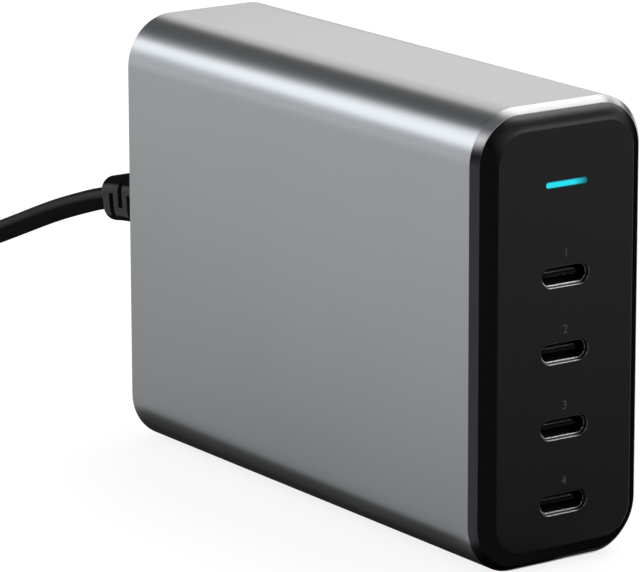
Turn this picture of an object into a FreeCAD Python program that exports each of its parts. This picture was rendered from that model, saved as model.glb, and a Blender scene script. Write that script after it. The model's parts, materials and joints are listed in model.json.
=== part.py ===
import FreeCAD, Part
import math
import os

os.makedirs("parts", exist_ok=True)
Vec = FreeCAD.Vector

# Desktop four-port charger with a mains lead. Millimetres, +Z up, the ports face -Y.
# The origin is the middle of the charger's underside.

# Extruded aluminium sleeve
BODY_WIDTH = 33.0
BODY_HEIGHT = 74.0
SLEEVE_LENGTH = 98.78
BODY_CORNER = 8.6
SLEEVE_WALL = 1.6
SLEEVE_BEVEL_LENGTH = 1.2
SLEEVE_BEVEL_DEPTH = 1.05

# Moulded caps at the two ends
CAP_PROUD = 1.82
CAP_STEP = 0.05
CAP_RIM_WIDTH = 2.45
CAP_RIM_START = 35.0
CAP_WALL = 2.6
CAP_SKIRT_LENGTH = 7.0
CAP_SKIRT_WALL = 1.4
CAP_FIT = 0.1
SNAP_HEIGHT = 0.5
SNAP_LENGTH = 1.6
SNAP_WIDTH = 8.0
SNAP_FROM_END = 1.4
SNAP_FIT = 0.1

# Insulating liner and its board posts
LINER_WALL = 0.8
LINER_FIT = 0.15
LINER_END_GAP = 0.3
POST_HEIGHT = 2.0
POST_RADIUS = 2.0
POST_INSET = 6.0

# USB-C receptacles
PORT_COUNT = 4
PORT_PITCH = 12.19
LOWEST_PORT_Z = 10.45
SHELL_WIDTH = 8.94
SHELL_HEIGHT = 3.26
SHELL_WALL = 0.3
SHELL_LENGTH = 7.35
SHELL_RECESS = 0.5
SHELL_LIP = 0.1
PORT_GAP = 0.07
PORT_BEVEL = 0.14
TONGUE_WIDTH = 6.69
TONGUE_THICKNESS = 0.7
TONGUE_RECESS = 0.95
TONGUE_BASE_LENGTH = 2.2
TONGUE_FIT = 0.03
CONTACTS_PER_FACE = 12
CONTACT_PITCH = 0.5
CONTACT_WIDTH = 0.26
CONTACT_THICKNESS = 0.06
CONTACT_LENGTH = 3.0
CONTACT_SETBACK = 0.35

# Status light
LIGHT_FROM_TOP = 12.35
LIGHT_WIDTH = 7.9
LIGHT_HEIGHT = 1.05
LIGHT_FIT = 0.04
LIGHT_FLANGE_MARGIN = 1.0
LIGHT_FLANGE_THICKNESS = 1.0
LED_WIDTH = 3.2
LED_HEIGHT = 1.6
LED_THICKNESS = 0.9
LED_OFFSET = -1.2
LED_GAP = 0.2

# Port board and what stands on it
BOARD_THICKNESS = 1.6
BOARD_EDGE_GAP = 0.4
BOSS_RADIUS = 2.2
BOSS_INSET = 4.2
OUTPUT_CHOKE_SIDE = 7.6
OUTPUT_CHOKE_HEIGHT = 4.0
OUTPUT_CHOKE_EDGE = 0.6

# Main board, parallel to the large sides, and the link to the port board
MAIN_BOARD_END_GAP = 0.5
MAIN_BOARD_EDGE_GAP = 2.5
LINK_WIDTH = 24.0
LINK_HEIGHT = 2.5
LINK_LENGTH = 7.0
LINK_WAYS = 10
LINK_GROOVE = 0.8

# Mains inlet and its pins
INLET_Z = 36.7
INLET_WIDTH = 20.4
INLET_HEIGHT = 12.0
INLET_CORNER = 3.0
INLET_SET_IN = 0.2
INLET_DEPTH = 12.5
INLET_BACK_WALL = 2.0
INLET_FLANGE_MARGIN = 1.5
INLET_FLANGE_THICKNESS = 1.6
INLET_FIT = 0.1
PIN_PITCH = 8.6
PIN_DIAMETER = 2.4
PIN_TIP_SET_IN = 5.0
PIN_TIP_ROUND = 0.7
PIN_TAIL = 4.0
PIN_FIT = 0.05

# Parts on the main board: height off the board, then their own sizes
REAR_ROW = 8.0
FUSE_SIZE = (8.5, 9.0, 4.2)
FUSE_RISE = 22.0
FILTER_CAP_SIZE = (14.0, 9.0, 18.0)
FILTER_CAP_DROP = 19.0
PART_EDGE = 0.7
SECOND_ROW = 24.0
CHOKE_OUTER = 17.0
CHOKE_INNER = 8.0
CHOKE_HEIGHT = 7.0
CHOKE_RISE = 19.0
WINDING_BUILD = 1.2
WINDING_SPAN = 130.0
WINDING_FIT = 0.05
RECTIFIER_SIZE = (11.0, 3.6, 15.0)
RECTIFIER_LEG = 2.0
RECTIFIER_LEG_WIDTH = 1.0
RECTIFIER_LEG_PITCH = 3.8
RECTIFIER_DROP = 1.5
BULK_CAP_COUNT = 3
BULK_CAP_DIAMETER = 12.5
BULK_CAP_HEIGHT = 18.0
BULK_CAP_PITCH = 13.2
BULK_CAP_DROP = 20.0
BULK_CAP_GROOVE = 0.6
CORE_ROW = 44.0
BOOST_SIDE = 17.0
BOOST_HEIGHT = 15.0
BOOST_RISE = 19.0
CORE_PLATE = 3.5
CORE_LEG = 6.0
TRANSFORMER_SIZE = (17.0, 24.0, 19.0)
TRANSFORMER_DROP = 1.5
BOBBIN_WALL = 0.9
BOBBIN_FIT = 0.1
COIL_MARGIN = 1.0
OUTPUT_CAP_COUNT = 4
OUTPUT_CAP_DIAMETER = 6.3
OUTPUT_CAP_HEIGHT = 8.0
OUTPUT_CAP_PITCH = 9.5
OUTPUT_CAP_GROOVE = 0.3
FRONT_ROW = 10.0
CHIP_SIZE = (1.0, 6.0, 5.0)
CHIP_PITCH = 10.0
SWITCH_CHIP_COUNT = 4
CONTROL_CHIP_COUNT = 4
SWITCH_CHIP_ROW = 22.0
CONTROL_CHIP_ROW = 56.0
CHIP_EDGE = 0.15

# Heat spreader under the +X wall and its soft pads
SPREADER_THICKNESS = 1.0
SPREADER_GAP = 0.1
SPREADER_MARGIN = 2.0
SPREADER_LIP = 3.0
PAD_INSET = 1.5

# Lead connector with its slotted strain relief
CONNECTOR_GAP = 0.6
INSERT_RADIUS = 3.8
INSERT_WAIST = 5.0
INSERT_FIT = 0.3
INSERT_END_GAP = 1.0
GRIP_WIDTH = 16.6
GRIP_HEIGHT = 8.6
GRIP_CORNER = 3.0
GRIP_LENGTH = 6.2
GRIP_FRONT_EDGE = 0.8
SHOULDER_LENGTH = 7.31
RELIEF_SIZE = 8.0
RELIEF_CORNER = 2.5
RELIEF_END_ROUND = 2.3
RELIEF_BEND_RADIUS = 64.0
RELIEF_BEND = 11.8
RELIEF_SLOT_COUNT = 3
RELIEF_SLOT_WIDTH = 1.35
RELIEF_SLOT_PITCH = 2.9
RELIEF_SLOT_FROM_END = 4.45
RELIEF_SLOT_PAST_MIDDLE = 1.2
RELIEF_CORE_RADIUS = 2.7
SOCKET_WALL = 0.45
SOCKET_LENGTH = 9.0
SOCKET_FIT = 0.05

# Round mains lead: the free stretch from the strain relief down to the hank, then the tail to the plug
CORD_DIAMETER = 4.0
CORD_FIT = 0.05
CORD_SEAT_DEPTH = 3.0
LEAD_ROUTE = (
    (0.0, 75.49, 35.96),
    (0.0, 82.0, 34.60),
    (0.0, 90.0, 32.13),
    (0.0, 100.34, 28.6),
    (0.0, 113.34, 23.4),
    (-2.5, 128.0, 17.2),
    (-8.5, 141.0, 11.2),
    (-14.6, 154.0, 5.8),
    (-17.7, 167.0, 2.5),
    (-17.7, 180.0, 2.5),
)
TAIL_ROUTE = (
    (17.7, 254.0, 14.5),
    (17.7, 248.0, 14.5),
    (17.3, 240.0, 16.9),
    (13.6, 231.5, 20.4),
    (7.0, 223.0, 22.9),
    (1.3, 214.0, 23.72),
    (0.0, 206.0, 23.72),
    (0.0, 199.5, 23.72),
)
ARC_SHARE = 0.45

# Hank of the put-away length, wound in line with the charger, with its tie
COIL_OUTER_TURN = 17.7
COIL_INNER_TURN = 12.2
COIL_LAYERS = 4
COIL_EDGE = 1.9
COIL_NOTCH_GAP = 0.3
COIL_SEAT_GAP = 0.02
COIL_LEAD_RISE = 1.8
COIL_TAIL_CLIMB = 30.0
COIL_TAIL_SHIFT = 1.5
TIE_THICKNESS = 0.5
TIE_WIDTH = 10.0
TIE_FROM_FOLD = 24.0

# Two-blade plug on the end of the lead
PLUG_WIDTH = 24.0
PLUG_HEIGHT = 14.4
PLUG_LENGTH = 26.0
PLUG_CORNER = 5.0
PLUG_EDGE = 1.6
PLUG_RELIEF_LENGTH = 20.0
PLUG_RELIEF_WIDE = 10.0
PLUG_RELIEF_NARROW = 6.0
PLUG_RING_COUNT = 4
PLUG_RING_WIDTH = 1.6
PLUG_RING_DEPTH = 0.7
PLUG_RING_PITCH = 4.0
GRIP_DIMPLE_RADIUS = 20.0
GRIP_DIMPLE_DEPTH = 1.0
BLADE_PITCH = 12.7
BLADE_WIDTH = 6.35
BLADE_THICKNESS = 1.5
BLADE_LENGTH = 17.0
BLADE_SEAT = 4.0
BLADE_HOLE = 3.0
BLADE_HOLE_FROM_TIP = 4.0
BLADE_FIT = 0.05

# Places worked out from the sizes above
TINY = 1e-6
PAST = 5.0
MID_Z = BODY_HEIGHT / 2
SLEEVE_END = SLEEVE_LENGTH / 2
FACE = SLEEVE_END + CAP_PROUD
RIM_START = math.radians(CAP_RIM_START)
RIM_TURN = 2 * (math.atan2(CAP_RIM_WIDTH, CAP_PROUD) - RIM_START)
RIM_RADIUS = math.hypot(CAP_RIM_WIDTH, CAP_PROUD) / (2 * math.sin(RIM_TURN / 2))
RIM_CENTRE = SLEEVE_END - RIM_RADIUS * math.sin(RIM_START)
RIM_GROWTH = RIM_RADIUS * (1 - math.cos(RIM_START))
SKIRT_END = SLEEVE_END - CAP_SKIRT_LENGTH
WALL_INSIDE = FACE - CAP_WALL
LIGHT_Z = BODY_HEIGHT - LIGHT_FROM_TOP
SHELL_FRONT = -FACE + SHELL_RECESS
SHELL_REAR = SHELL_FRONT + SHELL_LENGTH
PORT_BOARD_REAR = SHELL_REAR + BOARD_THICKNESS
LINER_INSET = SLEEVE_WALL + LINER_FIT + LINER_WALL
LINER_END = SKIRT_END - LINER_END_GAP
LINER_SIDE = BODY_WIDTH / 2 - LINER_INSET
BOARD_BACK = -LINER_SIDE + POST_HEIGHT
BOARD_TOP = BOARD_BACK + BOARD_THICKNESS
BOARD_FRONT_END = PORT_BOARD_REAR + MAIN_BOARD_END_GAP
BOARD_REAR_END = LINER_END - MAIN_BOARD_END_GAP
BOARD_LOW = LINER_INSET + MAIN_BOARD_EDGE_GAP
BOARD_HIGH = BODY_HEIGHT - BOARD_LOW
SPREADER_FACE = LINER_SIDE - SPREADER_GAP - SPREADER_THICKNESS
INLET_FACE = FACE - INLET_SET_IN
CAVITY_END = INLET_FACE - INLET_DEPTH
INLET_END = CAVITY_END - INLET_BACK_WALL
CONNECTOR_FACE = FACE + CONNECTOR_GAP
INSERT_END = CAVITY_END + INSERT_END_GAP
GRIP_END = CONNECTOR_FACE + GRIP_LENGTH
SHOULDER_END = GRIP_END + SHOULDER_LENGTH
CORD_RADIUS = CORD_DIAMETER / 2
COIL_NEAR_FOLD = LEAD_ROUTE[-1][1]
COIL_FAR_FOLD = TAIL_ROUTE[0][1]
COIL_X = LEAD_ROUTE[-1][0] + COIL_OUTER_TURN
COIL_BASE = TIE_THICKNESS
COIL_TOP = COIL_BASE + COIL_LAYERS * CORD_DIAMETER
PLUG_X, PLUG_END, PLUG_Z = TAIL_ROUTE[-1]
PLUG_BODY_REAR = PLUG_END - PLUG_RELIEF_LENGTH
PLUG_FACE = PLUG_BODY_REAR - PLUG_LENGTH
PORT_HEIGHTS = [LOWEST_PORT_Z + i * PORT_PITCH for i in range(PORT_COUNT)]


def block(x, y, z):
    """Box between pairs of X, Y and Z limits."""
    return Part.makeBox(x[1] - x[0], y[1] - y[0], z[1] - z[0], Vec(x[0], y[0], z[0]))


def spread(middle, size):
    """The two limits of a size about its middle."""
    return (middle - size / 2, middle + size / 2)


def rounded_outline(width, height, radius, y, x=0.0, z=0.0):
    """Closed wire of a rounded rectangle in the plane Y = y."""
    reach_x = width / 2 - radius
    reach_z = height / 2 - radius
    corners = [(reach_x, reach_z), (-reach_x, reach_z), (-reach_x, -reach_z), (reach_x, -reach_z)]

    def point(corner, degrees):
        angle = math.radians(degrees)
        return Vec(x + corner[0] + radius * math.cos(angle), y, z + corner[1] + radius * math.sin(angle))

    edges = []
    for i, corner in enumerate(corners):
        turn = 90 * i
        arc = Part.Arc(point(corner, turn), point(corner, turn + 45), point(corner, turn + 90))
        edges.append(arc.toShape())
        leave = point(corner, turn + 90)
        arrive = point(corners[(i + 1) % 4], turn + 90)
        if leave.distanceToPoint(arrive) > TINY:
            edges.append(Part.LineSegment(leave, arrive).toShape())
    return Part.Wire(edges)


def bar(width, height, radius, y_from, y_to, x=0.0, z=0.0):
    """Rounded rectangle run along Y."""
    face = Part.Face(rounded_outline(width, height, radius, y_from, x, z))
    return face.extrude(Vec(0, y_to - y_from, 0))


def taper(first, second):
    """Straight-sided solid between two outlines."""
    return Part.makeLoft([first, second], True, True)


def rod(radius, y_from, y_to, x=0.0, z=0.0):
    """Round bar along Y."""
    return Part.makeCylinder(radius, y_to - y_from, Vec(x, y_from, z), Vec(0, 1, 0))


def post(radius, x_from, x_to, y, z):
    """Round bar along X."""
    return Part.makeCylinder(radius, x_to - x_from, Vec(x_from, y, z), Vec(1, 0, 0))


def edges_at_y(shape, y):
    """Edges that lie wholly in the plane Y = y."""
    return [e for e in shape.Edges if all(abs(v.Y - y) < TINY for v in e.Vertexes)]


def edges_at_x(shape, x):
    """Edges that lie wholly in the plane X = x."""
    return [e for e in shape.Edges if all(abs(v.X - x) < TINY for v in e.Vertexes)]


def inset_bar(inset, y_from, y_to):
    """Charger's rounded section, made smaller all round and run along Y."""
    return bar(BODY_WIDTH - 2 * inset, BODY_HEIGHT - 2 * inset, BODY_CORNER - inset, y_from, y_to, z=MID_Z)


def inset_outline(inset, y):
    """Charger's rounded section, made smaller all round."""
    return rounded_outline(BODY_WIDTH - 2 * inset, BODY_HEIGHT - 2 * inset, BODY_CORNER - inset, y, z=MID_Z)


def save(name, solids):
    """Write one node, a solid or a group of separate solids."""
    shape = Part.makeCompound(solids) if isinstance(solids, list) else solids
    shape.exportStep("parts/%s.step" % name)


# Sleeve, liner and caps


def snap_places():
    """Middle and size in X and Z of the four snaps, one on each side of the skirt."""
    side = BODY_WIDTH / 2 - SLEEVE_WALL
    rise = MID_Z - SLEEVE_WALL
    sides = [(sign * side, MID_Z, "x") for sign in (-1, 1)]
    return sides + [(0.0, MID_Z + sign * rise, "z") for sign in (-1, 1)]


def snaps(end, grow):
    """Low ridges on a skirt, or with grow the shallow grooves in the sleeve that take them."""
    y = end * (SKIRT_END + SNAP_FROM_END + SNAP_LENGTH / 2)
    reach = 2 * (SNAP_HEIGHT + CAP_FIT + grow)
    solids = []
    for x, z, side in snap_places():
        wide = SNAP_WIDTH + 2 * grow
        span_x = reach if side == "x" else wide
        span_z = wide if side == "x" else reach
        solids.append(block(spread(x, span_x), spread(y, SNAP_LENGTH + 2 * grow), spread(z, span_z)))
    return solids


def outer_sleeve():
    straight = SLEEVE_END - SLEEVE_BEVEL_LENGTH
    body = inset_bar(0.0, -straight, straight)
    for end in (-1, 1):
        wide = inset_outline(0.0, end * straight)
        narrow = inset_outline(SLEEVE_BEVEL_DEPTH, end * SLEEVE_END)
        body = body.fuse(taper(wide, narrow))
    body = body.cut(inset_bar(SLEEVE_WALL, -SLEEVE_END - PAST, SLEEVE_END + PAST))
    for end in (-1, 1):
        body = body.cut(snaps(end, SNAP_FIT))
    return body.removeSplitter()


def insulating_liner():
    outer = inset_bar(SLEEVE_WALL + LINER_FIT, -LINER_END, LINER_END)
    tube = outer.cut(inset_bar(LINER_INSET, -LINER_END - PAST, LINER_END + PAST))
    for y in (BOARD_FRONT_END + POST_INSET, BOARD_REAR_END - POST_INSET):
        for z in (BOARD_LOW + POST_INSET, BOARD_HIGH - POST_INSET):
            tube = tube.fuse(post(POST_RADIUS, -LINER_SIDE - LINER_WALL / 2, BOARD_BACK, y, z))
    return tube.removeSplitter()


def cap_blank():
    """Cap before its openings, as it sits at the front. Its rim is an arc that meets the face in a crease."""
    inset = SLEEVE_BEVEL_DEPTH + CAP_STEP
    arch_top = -RIM_CENTRE - RIM_RADIUS
    arch = inset_bar(inset - RIM_GROWTH, arch_top, -RIM_CENTRE + CAP_WALL)
    arch = arch.makeFillet(RIM_RADIUS, edges_at_y(arch, arch_top))
    head = arch.common(inset_bar(0.0, -FACE, -SLEEVE_END))
    skirt_inset = SLEEVE_WALL + CAP_FIT
    skirt = inset_bar(skirt_inset, -SLEEVE_END, -SKIRT_END)
    pocket = inset_bar(skirt_inset + CAP_SKIRT_WALL, -WALL_INSIDE, -SKIRT_END + PAST)
    ridges = [r.cut(inset_bar(skirt_inset + CAP_SKIRT_WALL / 2, -FACE, FACE)) for r in snaps(-1, 0.0)]
    return head.fuse([skirt] + ridges).cut(pocket)


def port_cutout(z):
    """Hole for one receptacle, with its bevelled mouth."""
    width = SHELL_WIDTH + 2 * PORT_GAP
    height = SHELL_HEIGHT + 2 * PORT_GAP
    hole = bar(width, height, height / 2, -FACE - PAST, -WALL_INSIDE + PAST, z=z)
    mouth_height = height + 2 * PORT_BEVEL
    mouth = rounded_outline(width + 2 * PORT_BEVEL, mouth_height, mouth_height / 2, -FACE, z=z)
    throat = rounded_outline(width, height, height / 2, -FACE + PORT_BEVEL, z=z)
    return hole.fuse(taper(mouth, throat))


def boss_places():
    """X and Z of the four bosses that the port board sits on."""
    inset = SLEEVE_WALL + CAP_FIT + CAP_SKIRT_WALL + BOSS_INSET
    side = BODY_WIDTH / 2 - inset
    return [(x, z) for x in (-side, side) for z in (inset, BODY_HEIGHT - inset)]


def front_cap():
    cap = cap_blank()
    for x, z in boss_places():
        cap = cap.fuse(rod(BOSS_RADIUS, -WALL_INSIDE - CAP_WALL / 2, SHELL_REAR, x, z))
    for z in PORT_HEIGHTS:
        cap = cap.cut(port_cutout(z))
    slot_height = LIGHT_HEIGHT + 2 * LIGHT_FIT
    slot_width = LIGHT_WIDTH + 2 * LIGHT_FIT
    slot = bar(slot_width, slot_height, slot_height / 2, -FACE - PAST, -WALL_INSIDE + PAST, z=LIGHT_Z)
    return cap.cut(slot).removeSplitter()


def rear_cap():
    cap = cap_blank().mirror(Vec(0, 0, 0), Vec(0, 1, 0))
    opening = bar(INLET_WIDTH + 2 * INLET_FIT, INLET_HEIGHT + 2 * INLET_FIT, INLET_CORNER + INLET_FIT,
                  WALL_INSIDE - PAST, FACE + PAST, z=INLET_Z)
    return cap.cut(opening).removeSplitter()


# Ports, light and port board


def usb_c_shell(z):
    shell = bar(SHELL_WIDTH, SHELL_HEIGHT, SHELL_HEIGHT / 2, SHELL_FRONT, SHELL_REAR, z=z)
    height = SHELL_HEIGHT - 2 * SHELL_WALL
    bore = bar(SHELL_WIDTH - 2 * SHELL_WALL, height, height / 2, SHELL_FRONT - PAST,
               SHELL_REAR - SHELL_WALL, z=z)
    shell = shell.cut(bore)
    return shell.makeChamfer(SHELL_LIP, edges_at_y(shell, SHELL_FRONT))


def usb_c_tongue(z):
    """Moulded insert: a base that fills the back of the shell and the thin tongue in front of it."""
    base_end = SHELL_REAR - SHELL_WALL
    base_front = base_end - TONGUE_BASE_LENGTH
    inset = 2 * (SHELL_WALL + TONGUE_FIT)
    height = SHELL_HEIGHT - inset
    base = bar(SHELL_WIDTH - inset, height, height / 2, base_front, base_end, z=z)
    tip = SHELL_FRONT + TONGUE_RECESS
    tongue = block(spread(0.0, TONGUE_WIDTH), (tip, base_front), spread(z, TONGUE_THICKNESS))
    tongue = tongue.makeChamfer(TONGUE_THICKNESS / 4, edges_at_y(tongue, tip))
    return base.fuse(tongue).removeSplitter()


def usb_c_contacts():
    start = SHELL_FRONT + TONGUE_RECESS + CONTACT_SETBACK
    solids = []
    for z in PORT_HEIGHTS:
        for side in (-1, 1):
            face = z + side * TONGUE_THICKNESS / 2
            for i in range(CONTACTS_PER_FACE):
                x = (i - (CONTACTS_PER_FACE - 1) / 2) * CONTACT_PITCH
                rise = sorted((face, face + side * CONTACT_THICKNESS))
                solids.append(block(spread(x, CONTACT_WIDTH), (start, start + CONTACT_LENGTH), rise))
    return solids


def light_pipe():
    led_face = SHELL_REAR - LED_THICKNESS - LED_GAP
    stem = bar(LIGHT_WIDTH, LIGHT_HEIGHT, LIGHT_HEIGHT / 2, -FACE, led_face, z=LIGHT_Z)
    flange_height = LIGHT_HEIGHT + 2 * LIGHT_FLANGE_MARGIN
    flange = bar(LIGHT_WIDTH + 2 * LIGHT_FLANGE_MARGIN, flange_height, flange_height / 2,
                 -WALL_INSIDE, -WALL_INSIDE + LIGHT_FLANGE_THICKNESS, z=LIGHT_Z)
    return stem.fuse(flange).removeSplitter()


def status_led():
    chip = block(spread(LED_OFFSET, LED_WIDTH), (SHELL_REAR - LED_THICKNESS, SHELL_REAR),
                 spread(LIGHT_Z, LED_HEIGHT))
    return chip.makeChamfer(LED_THICKNESS / 4, edges_at_y(chip, SHELL_REAR - LED_THICKNESS))


def port_board():
    inset = SLEEVE_WALL + CAP_FIT + CAP_SKIRT_WALL + BOARD_EDGE_GAP
    return inset_bar(inset, SHELL_REAR, PORT_BOARD_REAR)


def output_inductor(z):
    rise = (PORT_BOARD_REAR, PORT_BOARD_REAR + OUTPUT_CHOKE_HEIGHT)
    cube = block(spread(0.0, OUTPUT_CHOKE_SIDE), rise, spread(z, OUTPUT_CHOKE_SIDE))
    return cube.makeFillet(OUTPUT_CHOKE_EDGE, edges_at_y(cube, rise[1]))


# Mains inlet


def figure_eight(radius, waist, y_from, y_to):
    """Two-lobed section of the mains connector."""
    lobes = [rod(radius, y_from, y_to, sign * PIN_PITCH / 2, INLET_Z) for sign in (-1, 1)]
    bridge = block(spread(0.0, PIN_PITCH), (y_from, y_to), spread(INLET_Z, waist))
    return bridge.fuse(lobes).removeSplitter()


def ac_inlet():
    body = bar(INLET_WIDTH, INLET_HEIGHT, INLET_CORNER, INLET_END, INLET_FACE, z=INLET_Z)
    flange = bar(INLET_WIDTH + 2 * INLET_FLANGE_MARGIN, INLET_HEIGHT + 2 * INLET_FLANGE_MARGIN,
                 INLET_CORNER + INLET_FLANGE_MARGIN, WALL_INSIDE - INLET_FLANGE_THICKNESS, WALL_INSIDE,
                 z=INLET_Z)
    cavity = figure_eight(INSERT_RADIUS + INSERT_FIT, INSERT_WAIST + 2 * INSERT_FIT, CAVITY_END, FACE + PAST)
    housing = body.fuse(flange).cut(cavity)
    for sign in (-1, 1):
        hole = rod(PIN_DIAMETER / 2 + PIN_FIT, INLET_END - PAST, CAVITY_END + PAST,
                   sign * PIN_PITCH / 2, INLET_Z)
        housing = housing.cut(hole)
    return housing.removeSplitter()


def inlet_pins():
    pins = []
    for sign in (-1, 1):
        tip = INLET_FACE - PIN_TIP_SET_IN
        pin = rod(PIN_DIAMETER / 2, INLET_END - PIN_TAIL, tip, sign * PIN_PITCH / 2, INLET_Z)
        pins.append(pin.makeFillet(PIN_TIP_ROUND, edges_at_y(pin, tip)))
    return pins


# Main board and the parts on it


def on_board(size, y, z):
    """Box that stands on the main board: its rise, its length along Y and its height along Z."""
    return block((BOARD_TOP, BOARD_TOP + size[0]), spread(y, size[1]), spread(z, size[2]))


def moulded(size, y, z):
    """Box part on the main board with its upper edges rounded."""
    shape = on_board(size, y, z)
    return shape.makeFillet(PART_EDGE, edges_at_x(shape, BOARD_TOP + size[0]))


def can(diameter, height, groove, y, z):
    """Electrolytic can with a rolled groove near its foot and a rounded top, turned about its own axis."""
    r = diameter / 2
    foot = height / 8
    points = [
        (0, 0), (r, 0), (r, foot), (r - groove, foot + groove), (r, foot + 2 * groove),
        (r, height - groove), (r - groove, height), (0, height), (0, 0),
    ]
    wire = Part.makePolygon([Vec(BOARD_TOP + h, y + d, z) for d, h in points])
    return Part.Face(wire).revolve(Vec(BOARD_TOP, y, z), Vec(1, 0, 0), 360)


def ring(inner, outer, x_limits, y, z, degrees=360.0, start=0.0):
    """Ring, or a sector of one, about an axis along X."""
    low, high = x_limits
    corners = [(low, inner), (high, inner), (high, outer), (low, outer), (low, inner)]
    wire = Part.makePolygon([Vec(x, y + r, z) for x, r in corners])
    solid = Part.Face(wire).revolve(Vec(0, y, z), Vec(1, 0, 0), degrees)
    solid.rotate(Vec(0, y, z), Vec(1, 0, 0), start)
    return solid


def choke_place():
    low = BOARD_TOP + WINDING_BUILD + WINDING_FIT
    return (low, low + CHOKE_HEIGHT), BOARD_REAR_END - SECOND_ROW, MID_Z + CHOKE_RISE


def choke_core():
    limits, y, z = choke_place()
    return ring(CHOKE_INNER / 2, CHOKE_OUTER / 2, limits, y, z)


def choke_winding():
    limits, y, z = choke_place()
    outside = (limits[0] - WINDING_FIT - WINDING_BUILD, limits[1] + WINDING_FIT + WINDING_BUILD)
    inside = (limits[0] - WINDING_FIT, limits[1] + WINDING_FIT)
    build = WINDING_FIT + WINDING_BUILD
    halves = []
    for start in (90.0, 270.0):
        first = start - WINDING_SPAN / 2
        jacket = ring(CHOKE_INNER / 2 - build, CHOKE_OUTER / 2 + build, outside, y, z, WINDING_SPAN, first)
        hollow = ring(CHOKE_INNER / 2 - WINDING_FIT, CHOKE_OUTER / 2 + WINDING_FIT, inside, y, z)
        halves.append(jacket.cut(hollow))
    return halves


def bridge_rectifier():
    y = BOARD_REAR_END - SECOND_ROW
    z = MID_Z - RECTIFIER_DROP
    low = BOARD_TOP + RECTIFIER_LEG
    body = block((low, low + RECTIFIER_SIZE[0]), spread(y, RECTIFIER_SIZE[1]), spread(z, RECTIFIER_SIZE[2]))
    for i in range(4):
        leg_z = z + (i - 1.5) * RECTIFIER_LEG_PITCH
        leg = block((BOARD_TOP, low), spread(y, RECTIFIER_LEG_WIDTH), spread(leg_z, RECTIFIER_LEG_WIDTH))
        body = body.fuse(leg)
    return body.removeSplitter()


def bulk_capacitor(index):
    y = BOARD_REAR_END - SECOND_ROW - index * BULK_CAP_PITCH
    return can(BULK_CAP_DIAMETER, BULK_CAP_HEIGHT, BULK_CAP_GROOVE, y, MID_Z - BULK_CAP_DROP)


def core_half(size, y, z, upper):
    """Half of a ferrite core: an end plate, a middle leg and two outer legs, open at the sides."""
    low, high = BOARD_TOP, BOARD_TOP + size[0]
    middle = (low + high) / 2
    limits = (middle, high) if upper else (low, middle)
    solid = block(limits, spread(y, size[1]), spread(z, size[2]))
    outer_leg = CORE_LEG / 2
    inside = (middle, high - CORE_PLATE) if upper else (low + CORE_PLATE, middle)
    half_z = size[2] / 2
    for sign in (-1, 1):
        window = sorted((z + sign * CORE_LEG / 2, z + sign * (half_z - outer_leg)))
        solid = solid.cut(block(inside, spread(y, size[1] + PAST), window))
    return solid


def bobbin_section(size, z, grow):
    """X and Z limits of the space round the core's middle leg."""
    low = BOARD_TOP + CORE_PLATE
    high = BOARD_TOP + size[0] - CORE_PLATE
    return (low + BOBBIN_FIT, high - BOBBIN_FIT), spread(z, CORE_LEG + 2 * grow)


def core_bobbin(size, y, z):
    """Spool on the middle leg, with a flange at each end plate of the core."""
    limits, tube_z = bobbin_section(size, z, BOBBIN_FIT + BOBBIN_WALL)
    _, hole_z = bobbin_section(size, z, BOBBIN_FIT)
    window = size[2] / 2 - CORE_LEG / 2 - BOBBIN_FIT
    wide = spread(z, 2 * window)
    over = spread(y, size[1] + 2 * (BOBBIN_FIT + BOBBIN_WALL))
    spool = block(limits, over, tube_z)
    for first in (limits[0], limits[1] - BOBBIN_WALL):
        flange_y = spread(y, size[1] + 2 * (BOBBIN_FIT + BOBBIN_WALL + COIL_MARGIN))
        spool = spool.fuse(block((first, first + BOBBIN_WALL), flange_y, wide))
    hole = block((limits[0] - PAST, limits[1] + PAST), spread(y, size[1] + 2 * BOBBIN_FIT), hole_z)
    return spool.cut(hole).removeSplitter()


def core_winding(size, y, z):
    """Copper wound on the spool, between its flanges."""
    limits, tube_z = bobbin_section(size, z, BOBBIN_FIT + BOBBIN_WALL + WINDING_FIT)
    window = size[2] / 2 - CORE_LEG / 2 - BOBBIN_FIT - WINDING_FIT
    rise = (limits[0] + BOBBIN_WALL + WINDING_FIT, limits[1] - BOBBIN_WALL - WINDING_FIT)
    over = size[1] + 2 * (BOBBIN_FIT + BOBBIN_WALL)
    wound = block(rise, spread(y, over + 2 * COIL_MARGIN), spread(z, 2 * window - 2 * WINDING_FIT))
    hole = block((rise[0] - PAST, rise[1] + PAST), spread(y, over + 2 * WINDING_FIT), tube_z)
    return wound.cut(hole)


def boost_place():
    return (BOOST_HEIGHT, BOOST_SIDE, BOOST_SIDE), BOARD_REAR_END - CORE_ROW, MID_Z + BOOST_RISE


def transformer_place():
    return TRANSFORMER_SIZE, BOARD_REAR_END - CORE_ROW, MID_Z - TRANSFORMER_DROP


def output_capacitors():
    y = BOARD_FRONT_END + FRONT_ROW
    places = [MID_Z + (i - (OUTPUT_CAP_COUNT - 1) / 2) * OUTPUT_CAP_PITCH for i in range(OUTPUT_CAP_COUNT)]
    return [can(OUTPUT_CAP_DIAMETER, OUTPUT_CAP_HEIGHT, OUTPUT_CAP_GROOVE, y, z) for z in places]


def chips(count, row):
    """Row of flat packages on the back of the main board."""
    y = BOARD_REAR_END - row
    solids = []
    for i in range(count):
        z = MID_Z + (i - (count - 1) / 2) * CHIP_PITCH
        low = BOARD_BACK - CHIP_SIZE[0]
        chip = block((low, BOARD_BACK), spread(y, CHIP_SIZE[1]), spread(z, CHIP_SIZE[2]))
        solids.append(chip.makeChamfer(CHIP_EDGE, edges_at_x(chip, low)))
    return solids


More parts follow.
